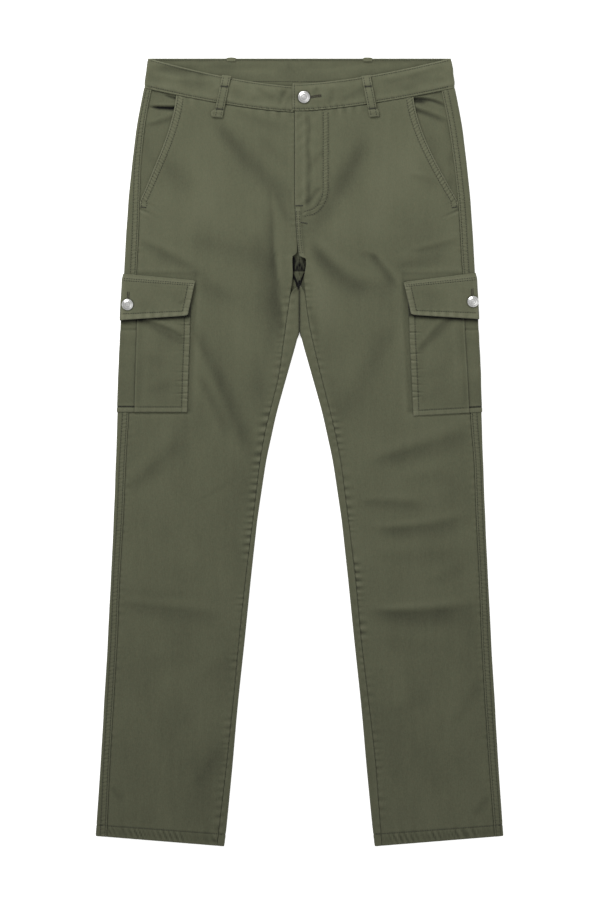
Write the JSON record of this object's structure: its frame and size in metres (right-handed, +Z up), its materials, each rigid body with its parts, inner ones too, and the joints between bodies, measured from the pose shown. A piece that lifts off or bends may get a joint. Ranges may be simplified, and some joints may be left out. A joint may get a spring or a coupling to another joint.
{
  "type": "cargo pants",
  "caption": "Straight-leg cargo pants laid flat, in olive twill, with slanted hip pockets, buttoned flap pockets on the thighs, belt loops and a buttoned waistband.",
  "frame": {"origin": "middle of the bounding box at the surface that the garment lies on", "axes": "+Y from hem to waist, +X to the wearer's left, +Z up off the surface, out of the front of the garment"},
  "size_m": [0.55, 1.0644, 0.0131],
  "materials": {
    "twill": "garment-dyed olive cotton twill, matt, a little paler on raised edges and seams",
    "button_metal": "satin silver-coloured metal, plain rim and crown"
  },
  "bodies": {
    "root": {"front_right": "twill", "front_left": "twill", "back_right": "twill", "back_left": "twill", "waistband_right": "twill", "waistband_left": "twill", "hip_pocket_facing_right": "twill", "hip_pocket_facing_left": "twill", "cargo_pocket_right": "twill", "cargo_pocket_left": "twill", "cargo_flap_right": "twill", "cargo_flap_left": "twill", "belt_loop_front_right": "twill", "belt_loop_front_left": "twill", "belt_loop_back_right": "twill", "belt_loop_back_left": "twill", "waist_button": "button_metal", "cargo_button_right": "button_metal", "cargo_button_left": "button_metal"}
  },
  "joints": []
}
